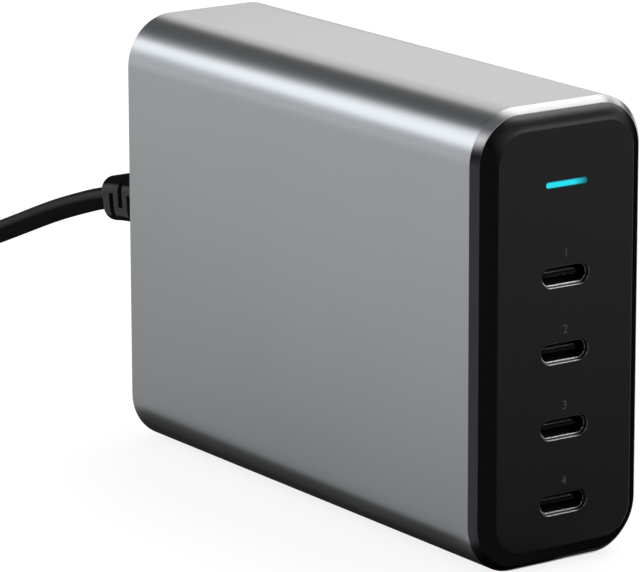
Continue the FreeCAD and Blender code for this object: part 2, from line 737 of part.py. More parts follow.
def main_board():
    """Upright board, cut away where the mains inlet would reach into it."""
    board = block((BOARD_BACK, BOARD_TOP), (BOARD_FRONT_END, BOARD_REAR_END), (BOARD_LOW, BOARD_HIGH))
    room = bar(INLET_WIDTH + 2 * INLET_FIT, INLET_HEIGHT + 2 * INLET_FIT, INLET_CORNER + INLET_FIT,
               INLET_END - INLET_FIT, FACE, z=INLET_Z)
    return board.cut(room)


def board_link():
    """Grooved connector that carries the outputs from the main board to the port board."""
    run = (PORT_BOARD_REAR, PORT_BOARD_REAR + LINK_LENGTH)
    body = block((BOARD_TOP, BOARD_TOP + LINK_HEIGHT), run, spread(MID_Z, LINK_WIDTH))
    pitch = LINK_WIDTH / LINK_WAYS
    for i in range(1, LINK_WAYS):
        z = MID_Z - LINK_WIDTH / 2 + i * pitch
        top = BOARD_TOP + LINK_HEIGHT
        groove = block((top - LINK_GROOVE, top + PAST), (run[0], run[1] + PAST), spread(z, LINK_GROOVE))
        body = body.cut(groove)
    return body


def core_top(place):
    return BOARD_TOP + place[0][0]


def heat_spreader():
    """Flat plate under the +X wall, over the transformer and the boost inductor, with a rear lip."""
    (_, length, _), y, _ = transformer_place()
    boost, _, boost_z = boost_place()
    low = transformer_place()[2] - TRANSFORMER_SIZE[2] / 2 - SPREADER_MARGIN
    high = boost_z + boost[2] / 2
    along = spread(y, length + 2 * SPREADER_MARGIN)
    plate = block((SPREADER_FACE, SPREADER_FACE + SPREADER_THICKNESS), along, (low, high))
    lip = block((SPREADER_FACE - SPREADER_LIP, SPREADER_FACE), (along[1] - SPREADER_THICKNESS, along[1]),
                (low, high))
    return plate.fuse(lip).removeSplitter()


def thermal_pads():
    pads = []
    for place in (transformer_place(), boost_place()):
        size, y, z = place
        across = (size[1] - 2 * PAD_INSET, size[2] - 2 * PAD_INSET)
        pads.append(block((core_top(place), SPREADER_FACE), spread(y, across[0]), spread(z, across[1])))
    return pads


# Lead connector


def relief_bend(shape, degrees):
    """Turn a shape about the centre of the strain relief's bend."""
    shape.rotate(Vec(0, SHOULDER_END, INLET_Z - RELIEF_BEND_RADIUS), Vec(1, 0, 0), -degrees)
    return shape


def relief_angle(distance):
    """Degrees of bend in a length of the strain relief's middle line."""
    return math.degrees(distance / RELIEF_BEND_RADIUS)


def relief_slot(index):
    """One cut across the strain relief, open below or above in turn, that leaves the core round the lead."""
    sign = -1 if index % 2 == 0 else 1
    half = RELIEF_SIZE / 2
    along = spread(SHOULDER_END, RELIEF_SLOT_WIDTH)
    rise = sorted((INLET_Z + sign * (half + PAST), INLET_Z - sign * RELIEF_SLOT_PAST_MIDDLE))
    cut = block((-half - PAST, half + PAST), along, rise)
    cut = cut.cut(rod(RELIEF_CORE_RADIUS, along[0] - PAST, along[1] + PAST, 0.0, INLET_Z))
    back = RELIEF_SLOT_FROM_END + index * RELIEF_SLOT_PITCH
    return relief_bend(cut, RELIEF_BEND - relief_angle(back))


def strain_relief():
    outline = rounded_outline(RELIEF_SIZE, RELIEF_SIZE, RELIEF_CORNER, SHOULDER_END, z=INLET_Z)
    centre = Vec(0, SHOULDER_END, INLET_Z - RELIEF_BEND_RADIUS)
    bent = Part.Face(outline).revolve(centre, Vec(1, 0, 0), -RELIEF_BEND)
    tip = relief_bend(Part.Face(outline.copy()), RELIEF_BEND)
    end = tip.CenterOfMass
    normal = tip.normalAt(0, 0)
    rim = [e for e in bent.Edges if all(abs((v.Point - end).dot(normal)) < TINY for v in e.Vertexes)]
    bent = bent.makeFillet(RELIEF_END_ROUND, rim)
    seat = rod(CORD_RADIUS + CORD_FIT, SHOULDER_END - CORD_SEAT_DEPTH, SHOULDER_END + PAST, 0.0, INLET_Z)
    return bent.cut([relief_bend(seat, RELIEF_BEND)] + [relief_slot(i) for i in range(RELIEF_SLOT_COUNT)])


def socket_bore():
    return PIN_DIAMETER / 2 + SOCKET_FIT


def cord_connector():
    grip = bar(GRIP_WIDTH, GRIP_HEIGHT, GRIP_CORNER, CONNECTOR_FACE, GRIP_END, z=INLET_Z)
    grip = grip.makeFillet(GRIP_FRONT_EDGE, edges_at_y(grip, CONNECTOR_FACE))
    wide = rounded_outline(GRIP_WIDTH, GRIP_HEIGHT, GRIP_CORNER, GRIP_END, z=INLET_Z)
    narrow = rounded_outline(RELIEF_SIZE, RELIEF_SIZE, RELIEF_CORNER, SHOULDER_END, z=INLET_Z)
    insert = figure_eight(INSERT_RADIUS, INSERT_WAIST, INSERT_END, CONNECTOR_FACE)
    body = grip.fuse([taper(wide, narrow), insert, strain_relief()])
    for sign in (-1, 1):
        radius = socket_bore() + SOCKET_WALL + SOCKET_FIT
        x = sign * PIN_PITCH / 2
        body = body.cut(rod(radius, INSERT_END - PAST, INSERT_END + SOCKET_LENGTH, x, INLET_Z))
    return body.removeSplitter()


def connector_sockets():
    sockets = []
    for sign in (-1, 1):
        x = sign * PIN_PITCH / 2
        sleeve = rod(socket_bore() + SOCKET_WALL, INSERT_END, INSERT_END + SOCKET_LENGTH, x, INLET_Z)
        bore = rod(socket_bore(), INSERT_END - PAST, INSERT_END + SOCKET_LENGTH - SOCKET_WALL, x, INLET_Z)
        sockets.append(sleeve.cut(bore))
    return sockets


# Lead, hank, tie and plug


def route_wire(route):
    """Straight runs joined by tangent arcs, each as large as its two runs allow, and the arcs' radii."""
    points = [Vec(*p) for p in route]
    edges = []
    radii = []
    start = points[0]
    for before, corner, after in zip(points, points[1:], points[2:]):
        into = (corner - before).normalize()
        out = (after - corner).normalize()
        turn = into.getAngle(out)
        reach = ARC_SHARE * min((corner - before).Length, (after - corner).Length)
        radius = reach / math.tan(turn / 2)
        first = corner - into * reach
        last = corner + out * reach
        inward = (out - into).normalize()
        middle = corner + inward * (radius / math.cos(turn / 2) - radius)
        edges.append(Part.LineSegment(start, first).toShape())
        edges.append(Part.Arc(first, middle, last).toShape())
        radii.append(radius)
        start = last
    edges.append(Part.LineSegment(start, points[-1]).toShape())
    return Part.Wire(edges), radii


def cord_tube(name, route):
    wire, radii = route_wire(route)
    start = Vec(*route[0])
    along = Vec(*route[1]) - start
    circle = Part.Wire(Part.Circle(start, along, CORD_RADIUS).toShape())
    tube = wire.makePipeShell([circle], True, True)
    print(name, "radii", [round(r, 1) for r in radii], "length", round(wire.Length, 2),
          "volume", round(tube.Volume, 1), "of", round(math.pi * CORD_RADIUS ** 2 * wire.Length, 1))
    return tube


def fold_block(radius):
    """Upright block as high as the hank, with half-round ends about its two folds."""
    near, far = COIL_NEAR_FOLD, COIL_FAR_FOLD
    places = [(-radius, near), (-radius, far), (0.0, far + radius),
              (radius, far), (radius, near), (0.0, near - radius)]
    points = [Vec(COIL_X + x, y, COIL_BASE) for x, y in places]
    runs = [Part.LineSegment(points[0], points[1]), Part.Arc(points[1], points[2], points[3]),
            Part.LineSegment(points[3], points[4]), Part.Arc(points[4], points[5], points[0])]
    outline = Part.Wire([run.toShape() for run in runs])
    return Part.Face(outline).extrude(Vec(0, 0, COIL_TOP - COIL_BASE))


def cord_coil():
    """Outer shape of the tied turns, with a notch where the lead goes in and one where the tail leaves."""
    hank = fold_block(COIL_OUTER_TURN + CORD_RADIUS).cut(fold_block(COIL_INNER_TURN - CORD_RADIUS))
    level = [e for e in hank.Edges if abs(e.Vertexes[0].Z - e.Vertexes[-1].Z) < TINY]
    hank = hank.makeFillet(COIL_EDGE, level)
    reach = CORD_RADIUS + COIL_NOTCH_GAP
    side = COIL_OUTER_TURN + reach
    lead_x, lead_y, lead_z = LEAD_ROUTE[-1]
    lead_notch = block((COIL_X - side, lead_x + reach), (lead_y - side, lead_y + COIL_SEAT_GAP),
                       (-PAST, lead_z + reach + COIL_LEAD_RISE))
    tail_x, tail_y, tail_z = TAIL_ROUTE[0]
    tail_notch = block((tail_x - reach - COIL_TAIL_SHIFT, COIL_X + side),
                       (tail_y - COIL_TAIL_CLIMB, tail_y + COIL_SEAT_GAP), (tail_z - reach, COIL_TOP + PAST))
    return hank.cut([lead_notch, tail_notch])


def cord_tie():
    """Flat band drawn round both sides of the hank."""
    start = COIL_NEAR_FOLD + TIE_FROM_FOLD
    width = 2 * (COIL_OUTER_TURN + CORD_RADIUS)
    height = COIL_TOP - COIL_BASE
    middle = (COIL_BASE + COIL_TOP) / 2
    over = 2 * TIE_THICKNESS
    end = start + TIE_WIDTH
    band = bar(width + over, height + over, COIL_EDGE + TIE_THICKNESS, start, end, COIL_X, middle)
    return band.cut(bar(width, height, COIL_EDGE, start - PAST, end + PAST, COIL_X, middle))


def plug_body():
    """Moulded plug with thumb hollows on its broad faces and a ringed, tapered strain relief."""
    body = bar(PLUG_WIDTH, PLUG_HEIGHT, PLUG_CORNER, PLUG_FACE, PLUG_BODY_REAR, PLUG_X, PLUG_Z)
    body = body.makeFillet(PLUG_EDGE, edges_at_y(body, PLUG_FACE) + edges_at_y(body, PLUG_BODY_REAR))
    middle = (PLUG_FACE + PLUG_BODY_REAR) / 2
    for sign in (-1, 1):
        away = PLUG_Z + sign * (PLUG_HEIGHT / 2 + GRIP_DIMPLE_RADIUS - GRIP_DIMPLE_DEPTH)
        body = body.cut(post(GRIP_DIMPLE_RADIUS, PLUG_X - PLUG_WIDTH, PLUG_X + PLUG_WIDTH, middle, away))
    relief = Part.makeCone(PLUG_RELIEF_WIDE / 2, PLUG_RELIEF_NARROW / 2, PLUG_RELIEF_LENGTH,
                           Vec(PLUG_X, PLUG_BODY_REAR, PLUG_Z), Vec(0, 1, 0))
    slope = (PLUG_RELIEF_WIDE - PLUG_RELIEF_NARROW) / 2 / PLUG_RELIEF_LENGTH
    for i in range(PLUG_RING_COUNT):
        start = PLUG_BODY_REAR + PLUG_RING_PITCH * (i + 0.5)
        floor = PLUG_RELIEF_WIDE / 2 - slope * (start - PLUG_BODY_REAR) - PLUG_RING_DEPTH
        ends = (start, start + PLUG_RING_WIDTH)
        groove = rod(PLUG_RELIEF_WIDE, *ends, PLUG_X, PLUG_Z).cut(rod(floor, *ends, PLUG_X, PLUG_Z))
        relief = relief.cut(groove)
    body = body.fuse(relief)
    for x in blade_places():
        seat = block(spread(x, BLADE_THICKNESS + 2 * BLADE_FIT), (PLUG_FACE - PAST, PLUG_FACE + BLADE_SEAT),
                     spread(PLUG_Z, BLADE_WIDTH + 2 * BLADE_FIT))
        body = body.cut(seat)
    return body.removeSplitter()


def blade_places():
    return [PLUG_X + sign * BLADE_PITCH / 2 for sign in (-1, 1)]


def plug_blades():
    tip = PLUG_FACE - BLADE_LENGTH
    blades = []
    for x in blade_places():
        blade = block(spread(x, BLADE_THICKNESS), (tip, PLUG_FACE + BLADE_SEAT), spread(PLUG_Z, BLADE_WIDTH))
        blade = blade.makeChamfer(BLADE_THICKNESS / 4, edges_at_y(blade, tip))
        hole = post(BLADE_HOLE / 2, x - PAST, x + PAST, tip + BLADE_HOLE_FROM_TIP, PLUG_Z)
        blades.append(blade.cut(hole))
    return blades


save("outer_sleeve", outer_sleeve())
save("insulating_liner", insulating_liner())
save("front_cap", front_cap())
save("rear_cap", rear_cap())
save("light_pipe", light_pipe())
save("status_led", status_led())
save("port_board", port_board())
for number, port_z in enumerate(reversed(PORT_HEIGHTS), 1):
    save("usb_c_shell_%d" % number, usb_c_shell(port_z))
    save("usb_c_tongue_%d" % number, usb_c_tongue(port_z))
    save("output_inductor_%d" % number, output_inductor(port_z))
save("usb_c_contacts", usb_c_contacts())
save("board_link", board_link())
save("main_board", main_board())
save("ac_inlet", ac_inlet())
save("inlet_pins", inlet_pins())
save("fuse", moulded(FUSE_SIZE, BOARD_REAR_END - REAR_ROW, MID_Z + FUSE_RISE))
save("filter_capacitor", moulded(FILTER_CAP_SIZE, BOARD_REAR_END - REAR_ROW, MID_Z - FILTER_CAP_DROP))
save("choke_core", choke_core())
save("choke_winding", choke_winding())
save("bridge_rectifier", bridge_rectifier())
for index in range(BULK_CAP_COUNT):
    save("bulk_capacitor_%d" % (index + 1), bulk_capacitor(index))
for part_name, part_place in (("boost", boost_place()), ("transformer", transformer_place())):
    save(part_name + "_core", [core_half(*part_place, upper) for upper in (False, True)])
    save(part_name + "_bobbin", core_bobbin(*part_place))
    save(part_name + "_winding", core_winding(*part_place))
save("switch_chips", chips(SWITCH_CHIP_COUNT, SWITCH_CHIP_ROW))
save("control_chips", chips(CONTROL_CHIP_COUNT, CONTROL_CHIP_ROW))
save("output_capacitors", output_capacitors())
save("heat_spreader", heat_spreader())
save("thermal_pads", thermal_pads())
save("cord_connector", cord_connector())
save("connector_sockets", connector_sockets())
save("power_cord", cord_tube("power_cord", LEAD_ROUTE))
save("cord_tail", cord_tube("cord_tail", TAIL_ROUTE))
save("cord_coil", cord_coil())
save("cord_tie", cord_tie())
save("plug_body", plug_body())
save("plug_blades", plug_blades())
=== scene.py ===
"""Four-port desktop charger with its mains lead: finishes, lead, studio and camera."""
import json
import math

import bmesh
import bpy
from mathutils import Matrix, Vector


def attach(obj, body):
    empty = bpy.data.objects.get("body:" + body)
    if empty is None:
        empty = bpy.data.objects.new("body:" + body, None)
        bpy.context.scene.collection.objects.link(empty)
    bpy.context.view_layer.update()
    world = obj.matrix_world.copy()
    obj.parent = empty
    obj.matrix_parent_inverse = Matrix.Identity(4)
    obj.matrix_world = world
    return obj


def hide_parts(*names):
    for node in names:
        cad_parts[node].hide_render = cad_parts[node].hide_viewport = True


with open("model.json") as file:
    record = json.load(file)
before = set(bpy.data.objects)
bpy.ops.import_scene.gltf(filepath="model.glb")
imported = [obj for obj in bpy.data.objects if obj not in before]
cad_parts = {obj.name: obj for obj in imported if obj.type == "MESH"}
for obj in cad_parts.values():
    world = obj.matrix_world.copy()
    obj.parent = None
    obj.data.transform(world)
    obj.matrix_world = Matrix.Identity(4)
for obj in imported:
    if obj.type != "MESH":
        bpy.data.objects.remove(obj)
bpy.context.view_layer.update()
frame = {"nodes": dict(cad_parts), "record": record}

MM = 0.001
QUARTER_TURN = math.pi / 2


def node_box(name):
    """The low and the high corner of a CAD node, in millimetres."""
    columns = list(zip(*(point.co / MM for point in frame["nodes"][name].data.vertices)))
    return Vector([min(column) for column in columns]), Vector([max(column) for column in columns])


def node_middle(name):
    """The middle of a CAD node's box, in millimetres."""
    low, high = node_box(name)
    return (low + high) / 2


# The camera, fitted to the edges of the charger in the photograph.
VIEW_AZIMUTH = math.radians(-34.752)
VIEW_ELEVATION = math.radians(13.966)
VIEW_ROLL = math.radians(-0.153)
VIEW_AIM = Vector((-7.529, 4.563, 35.087)) * MM
VIEW_DISTANCE = 761.189 * MM
VIEW_LENS = 261.6
VIEW_SENSOR = 36.0
VIEW_NEAREST = 10.0 * MM

# The lead's route in millimetres, as in the part's source.
CORD_DIAMETER = 4.0
LEAD_ROUTE = [(0, 75.49, 35.96), (0, 82, 34.60), (0, 90, 32.13), (0, 100.34, 28.6), (0, 113.34, 23.4),
              (-2.5, 128, 17.2), (-8.5, 141, 11.2), (-14.6, 154, 5.8), (-17.7, 167, 2.5), (-17.7, 180, 2.5)]
TAIL_ROUTE = [(17.7, 254, 14.5), (17.7, 248, 14.5), (17.3, 240, 16.9), (13.6, 231.5, 20.4), (7.0, 223, 22.9),
              (1.3, 214, 23.72), (0, 206, 23.72), (0, 199.5, 23.72)]
CORD_STEPS = 6
CORD_ROUNDNESS = 7
HANK_OUTER_TURN = 17.7
HANK_INNER_TURN = 12.2
HANK_LAYERS = 4
HANK_HALF_TURNS = 11
HANK_FOLD_POINTS = 6
HANK_CLIMB = 0.1

# The sleeve: its overall sizes from the frame, the others as in the part's source.
SLEEVE_LOW, SLEEVE_HIGH = node_box("outer_sleeve")
SLEEVE_WIDTH, SLEEVE_LENGTH, SLEEVE_HEIGHT = SLEEVE_HIGH - SLEEVE_LOW
SLEEVE_CORNER = 8.6
SLEEVE_WALL = 1.6
BEVEL_INSET = 1.05
BEVEL_LENGTH = 1.2
# Painted shade on the left of the end bevels: its colour, and the height where it fades out.
BEVEL_PAINTED_SHADE = (0.036, 0.034, 0.040)
BEVEL_PAINTED_SHADE_TO = 67.4
BEVEL_PAINTED_SHADE_FADE = 2.4
EDGE_SOFTNESS = 0.11
CORNER_STEPS = 28
EDGE_STEPS = 4
CORNER_SUPPORT = 0.5

# The front cap, and where its finish changes.
FACE_Y = node_box("front_cap")[0].y
CAP_REACH = 11.0
RIM_BEHIND_FACE = (0.02, 0.08)
RIM_TOP = (65.0, 69.0)
RIM_TOP_HALF_WIDTH = (13.6, 9.2)
PORT_COLUMN_HALF_WIDTH = (8.5, 7.6)
PORT_COLUMN_FOOT = (4.4, 5.4)
PORT_COLUMN_HEAD = (56.0, 55.0)
# Where the painted highlight on the mouths' lower lips stops, left and right.
LIP_LEFT = (-4.4, -3.6)
LIP_RIGHT = (3.3, 2.0)

# The ports: their middles from the top down, and how far up a row of them the painted highlight on the lips
# and the painted light and shade on the shells change.
PORT_SHELLS = [part["node"] for part in frame["record"]["subparts"] if part["material_slot"] == "shell_metal"]
PORT_HEIGHTS = sorted((node_middle(shell).z for shell in PORT_SHELLS), reverse=True)
PORT_PITCH = PORT_HEIGHTS[0] - PORT_HEIGHTS[1]
LIP_SHARE = (0.40, 0.37)
SHELL_SHARE = (0.53, 0.42)
# Where the painted shade at the shells' right ends begins.
SHELL_RIGHT = (4.0, 2.0)

# The port numbers.
NUMBER_RISE = 3.57
NUMBER_SIZE = 2.0
NUMBER_THICKNESS = 0.02
SEAM_GAP = 0.0001

# The status light's bar.
BAR_Z = node_middle("light_pipe").z
BAR_HEIGHT = 1.05
BAR_DIM = (1.3, 4.0)

# The stage, in metres.
FLOOR_REACH = 6.0
CLOTH_LIFT = 0.0001
CARD_DISTANCE = 2.6
CARD_LIFT = 0.05
LIGHT_AIM = (0.0, 0.0, 0.05)
SKY_COLOUR = (0.97, 0.985, 1.0)
SKY_STRENGTH = 0.50


class Field:
    """A value that changes over a surface or along a path: a socket that takes part in sums."""

    def __init__(self, layout, socket):
        self.layout = layout
        self.socket = socket

    def sum_node(self, operation, first, second=0.0):
        return self.layout.node("ShaderNodeMath", {"operation": operation}, {0: first, 1: second})

    def worked(self, operation):
        """The value put through a function of one value, such as a sine."""
        return self.sum_node(operation, self)

    def __add__(self, other):
        return self.sum_node("ADD", self, other)

    def __radd__(self, other):
        return self.sum_node("ADD", other, self)

    def __sub__(self, other):
        return self.sum_node("SUBTRACT", self, other)

    def __rsub__(self, other):
        return self.sum_node("SUBTRACT", other, self)

    def __mul__(self, other):
        return self.sum_node("MULTIPLY", self, other)

    def __rmul__(self, other):
        return self.sum_node("MULTIPLY", other, self)

    def __truediv__(self, other):
        return self.sum_node("DIVIDE", self, other)

    def __rtruediv__(self, other):
        return self.sum_node("DIVIDE", other, self)


class Layout:
    """A node tree, with one way to add a node to it."""

    def __init__(self, tree):
        self.tree = tree
        self.tree.nodes.clear()

    def node(self, kind, settings=None, inputs=None, output=0):
        """Adds a node with settings and inputs. Returns one of its outputs, or the node if it has none."""
        node = self.tree.nodes.new(kind)
        for key, value in (settings or {}).items():
            if key == "choices":
                while len(node.index_switch_items) < value:
                    node.index_switch_items.new()
            else:
                setattr(node, key, value)
        for key, value in (inputs or {}).items():
            self.plug(node.inputs[key], value)
        return Field(self, node.outputs[output]) if node.outputs else node

    def plug(self, socket, value):
        if isinstance(value, Field):
            self.tree.links.new(value.socket, socket)
        elif socket.type == "RGBA" and len(value) == 3:
            socket.default_value = (*value, 1.0)
        else:
            socket.default_value = value

    def within(self, value):
        """A value kept between 0 and 1."""
        return self.node("ShaderNodeClamp", {}, {0: value})


class Finish(Layout):
    """A procedural material: one surface shader, fed by what is laid out over the surface."""

    def __init__(self, name, **constants):
        self.material = bpy.data.materials.new(name)
        self.material.use_nodes = True
        super().__init__(self.material.node_tree)
        self.surface = self.node("ShaderNodeBsdfPrincipled")
        self.shader = self.surface.socket.node
        self.output = self.node("ShaderNodeOutputMaterial", {}, {"Surface": self.surface})
        self.place = self.node("ShaderNodeTexCoord", output="Object")
        for socket, value in constants.items():
            self.feed(socket.replace("_", " "), value)

    def feed(self, socket, value):
        self.plug(self.shader.inputs[socket], value)

    def overlay(self, share, **changes):
        """Covers part of the surface, by share, with a copy of its shader that differs in some sockets."""
        layer = self.node("ShaderNodeBsdfPrincipled")
        sockets = layer.socket.node.inputs
        for source, target in zip(self.shader.inputs, sockets):
            if source.is_linked:
                self.tree.links.new(source.links[0].from_socket, target)
            else:
                target.default_value = source.default_value
        for socket, value in changes.items():
            self.plug(sockets[socket.replace("_", " ")], value)
        self.surface = self.node("ShaderNodeMixShader", {}, {0: share, 1: self.surface, 2: layer})
        self.plug(self.output.inputs["Surface"], self.surface)

    def noise(self, grain, detail=2.0, place=None):
        """Cloudy values from 0 to 1, with patches about one grain (mm) across."""
        return self.node("ShaderNodeTexNoise", {}, {
            "Vector": place or self.place, "Scale": 1.0 / (grain * MM), "Detail": detail})

    def spread(self, value, low, high):
        """A value stretched so that low becomes 0 and high becomes 1, and kept between them."""
        return self.node("ShaderNodeMapRange", {}, {
            "Value": value, "From Min": low, "From Max": high, "To Min": 0.0, "To Max": 1.0})

    def blend(self, share, first, second):
        """A colour between two, by share."""
        return self.node("ShaderNodeMix", {"data_type": "RGBA"}, {0: share, 6: first, 7: second}, 2)

    def axis(self, name):
        """The place along one axis, in millimetres."""
        return self.node("ShaderNodeSeparateXYZ", {}, {0: self.place}, name) / MM

    def upward(self):
        """How far the surface faces up, from -1 to 1."""
        normal = self.node("ShaderNodeTexCoord", output="Normal")
        return self.node("ShaderNodeSeparateXYZ", {}, {0: normal}, "Z")

    def relief(self, height, depth):
        """Bump from a height field, with the depth in millimetres."""
        return self.node("ShaderNodeBump", {}, {"Strength": 1.0, "Distance": depth * MM, "Height": height})


def put(name, data):
    """A new object in the scene."""
    thing = bpy.data.objects.new(name, data)
    bpy.context.collection.objects.link(thing)
    return thing


def plain_mesh(holder):
    """The finished mesh of an object, which is taken out of the scene."""
    bpy.context.view_layer.update()
    mesh = bpy.data.meshes.new_from_object(holder.evaluated_get(bpy.context.evaluated_depsgraph_get()))
    bpy.data.objects.remove(holder)
    return mesh


class Sweep(Layout):
    """A shape swept by Geometry Nodes, with a named input for each of its sizes."""

    def __init__(self, name, sizes):
        super().__init__(bpy.data.node_groups.new(name, "GeometryNodeTree"))
        self.name = name
        self.settings = {}
        for size, value in sizes.items():
            entry = self.tree.interface.new_socket(size, in_out="INPUT", socket_type="NodeSocketFloat")
            self.settings[entry.identifier] = value
        self.tree.interface.new_socket("Mesh", in_out="OUTPUT", socket_type="NodeSocketGeometry")
        self.entries = self.node("NodeGroupInput").socket.node
        self.index = self.node("GeometryNodeInputIndex")

    def size(self, name):
        return Field(self, self.entries.outputs[name])

    def point(self, x, y):
        return self.node("ShaderNodeCombineXYZ", {}, {0: x, 1: y})

    def ring(self, count, place):
        """A closed line through so many points, placed by their index."""
        circle = self.node("GeometryNodeCurvePrimitiveCircle", {}, {"Resolution": count})
        return self.node("GeometryNodeSetPosition", {}, {"Geometry": circle, "Position": place})

    def rounded_rectangle(self, width, height, corner, beside):
        """A rectangle with rounded corners, and a point beside each end of them that keeps the flats flat."""
        points = CORNER_STEPS + 3
        quarter = (self.index / points).worked("FLOOR")
        step = self.index - quarter * points
        angle = (quarter + self.within((step - 1) / CORNER_STEPS)) * QUARTER_TURN
        past = (self.within(step - (CORNER_STEPS + 1)) - self.within(1 - step)) * beside
        towards = (quarter + 0.5) * QUARTER_TURN
        along, up = angle.worked("COSINE"), angle.worked("SINE")
        side, end = towards.worked("COSINE").worked("SIGN"), towards.worked("SINE").worked("SIGN")
        x = side * (width / 2 - corner) + corner * along - past * up
        y = end * (height / 2 - corner) + corner * up + past * along
        return self.ring(4 * points, self.point(x, y))

    def softened(self, corners, radius):
        """A closed line through the given corners, each broken by a radius."""
        places = {i: self.point(x, y) for i, (x, y) in enumerate(corners, 1)}
        place = self.node("GeometryNodeIndexSwitch", {"data_type": "VECTOR", "choices": len(corners)},
                          {0: self.index, **places})
        return self.node("GeometryNodeFilletCurve", {"mode": "POLY"}, {
            "Curve": self.ring(len(corners), place), "Count": EDGE_STEPS, "Radius": radius})

    def swept(self, path, section, lift):
        """The section swept round the path, stood upright and brought from millimetres to metres."""
        wall = self.node("GeometryNodeCurveToMesh", {}, {"Curve": path, "Profile Curve": section})
        smooth = self.node("GeometryNodeSetShadeSmooth", {}, {0: wall, "Shade Smooth": True})
        return self.node("GeometryNodeTransform", {}, {
            "Geometry": smooth, "Translation": self.node("ShaderNodeCombineXYZ", {}, {2: lift * MM}),
            "Rotation": (QUARTER_TURN, 0.0, 0.0), "Scale": (MM, MM, MM)})

    def mesh(self, shape, material):
        """Ends the tree with the shape, and returns it as a plain mesh."""
        whole = self.node("GeometryNodeRealizeInstances", {}, {0: shape})
        dressed = self.node("GeometryNodeSetMaterial", {}, {"Geometry": whole, "Material": material})
        self.node("NodeGroupOutput", {}, {0: dressed})
        holder = put(self.name, bpy.data.meshes.new(self.name))
        modifier = holder.modifiers.new(self.name, "NODES")
        modifier.node_group = self.tree
        for identifier, value in self.settings.items():
            modifier[identifier] = value
        return plain_mesh(holder)


def shade(colour, factor):
    """A colour made darker or lighter."""
    return tuple(min(1.0, c * factor) for c in colour)


def blasted_metal(name, colour, roughness):
    """Blasted and anodised aluminium: a very fine grain with faint clouds.

    The left half of the end bevels is painted dark, fading out near the top: painted shade standing in for a
    dark reflection."""
    finish = Finish(name, Metallic=1.0)
    fine = finish.noise(0.16, 3.0)
    clouds = finish.noise(22.0, 2.0)
    metal = finish.blend(clouds * 0.5 + fine * 0.5, shade(colour, 0.94), shade(colour, 1.06))
    # Painted shade: a dark colour on the left half of the end bevels, fading out near the top.
    from_middle = finish.axis("Y") / (SLEEVE_LENGTH / 2 - BEVEL_LENGTH)
    bevel = finish.spread(from_middle * from_middle, 0.999, 1.003)
    below_top = finish.spread(finish.axis("Z"), BEVEL_PAINTED_SHADE_TO + BEVEL_PAINTED_SHADE_FADE, BEVEL_PAINTED_SHADE_TO)
    left = finish.spread(finish.axis("X"), 1.0, -1.0)
    finish.feed("Base Color", finish.blend(bevel * below_top * left, metal, BEVEL_PAINTED_SHADE))
    finish.feed("Roughness", roughness - 0.03 + fine * 0.04 + clouds * 0.02)
    finish.feed("Normal", finish.relief(fine, 0.004))
    return finish


def moulded(name, colour, roughness, grain, depth, specular=0.5):
    """Moulded plastic or rubber: a fine sparked texture, with the gloss a little uneven."""
    finish = Finish(name, Specular_IOR_Level=specular)
    fine = finish.noise(grain, 2.0)
    clouds = finish.noise(9.0, 3.0)
    finish.feed("Base Color", finish.blend(clouds, shade(colour, 0.85), shade(colour, 1.15)))
    finish.feed("Roughness", roughness - 0.05 + fine * 0.06 + clouds * 0.04)
    finish.feed("Normal", finish.relief(fine, depth))
    return finish


def port_share(finish):
    """How far up its own row of the ports a place is: 0.5 at the height of a port's middle."""
    rows = (finish.axis("Z") - PORT_HEIGHTS[-1]) / PORT_PITCH + 0.5
    return rows.worked("FRACT")


def cap_moulding(colour):
    """The caps: a matte face and a duller rim, painted lighter towards its left, with satin along its top and
    in the ports' mouths.

    The mouths' lower lips are given a bright metal colour: a painted highlight."""
    finish = moulded("cap_moulding", colour, 0.34, 0.2, 0.004, 0.17)
    x, y, z = (finish.axis(name) for name in "XYZ")

    def beside(half_width):
        """1 inside a half-width, from the second value on, and 0 outside the first."""
        return finish.spread(x * x, half_width[0] ** 2, half_width[1] ** 2)

    in_front = finish.spread(y, FACE_Y + CAP_REACH + 1.0, FACE_Y + CAP_REACH)
    rim = finish.spread(y, FACE_Y + RIM_BEHIND_FACE[0], FACE_Y + RIM_BEHIND_FACE[1]) * in_front
    top = finish.spread(z, *RIM_TOP) * beside(RIM_TOP_HALF_WIDTH)
    column = finish.spread(z, *PORT_COLUMN_FOOT) * finish.spread(z, *PORT_COLUMN_HEAD)
    mouths = beside(PORT_COLUMN_HALF_WIDTH) * column
    lips = finish.spread(port_share(finish), *LIP_SHARE)
    lips = lips * finish.spread(x, *LIP_LEFT) * finish.spread(x, *LIP_RIGHT)
    # Painted light: the rim's colour is lighter towards its left side.
    dull = finish.blend(finish.spread(x, 8.0, -8.0), colour, shade(colour, 1.75))
    # Painted highlight: a bright metal colour on the mouths' lower lips.
    painted_lip_highlight = finish.blend(finish.noise(0.3), (0.50, 0.50, 0.50), (0.60, 0.60, 0.60))
    finish.overlay(rim, Specular_IOR_Level=0.0, Base_Color=dull)
    finish.overlay(rim * top, Specular_IOR_Level=0.5)
    finish.overlay(rim * mouths, Specular_IOR_Level=1.0)
    finish.overlay(rim * mouths * lips, Metallic=1.0, Base_Color=painted_lip_highlight)
    return finish


def drawn_metal(name, colour, roughness, along="Y", streak=0.12):
    """Drawn or stamped metal: faint streaks along the way it was drawn."""
    finish = Finish(name, Metallic=1.0)
    stretch = {"X": (0.06, 1.0, 1.0), "Y": (1.0, 0.06, 1.0)}[along]
    drawn = finish.node("ShaderNodeMapping", {}, {"Vector": finish.place, "Scale": stretch})
    streaks = finish.noise(streak, 3.0, drawn)
    dull = finish.noise(3.0, 2.0)
    mottle = streaks * 0.6 + dull * 0.4
    finish.feed("Base Color", finish.blend(mottle, shade(colour, 0.82), shade(colour, 1.08)))
    finish.feed("Roughness", roughness - 0.06 + streaks * 0.08 + dull * 0.06)
    finish.feed("Normal", finish.relief(streaks, 0.002))
    return finish


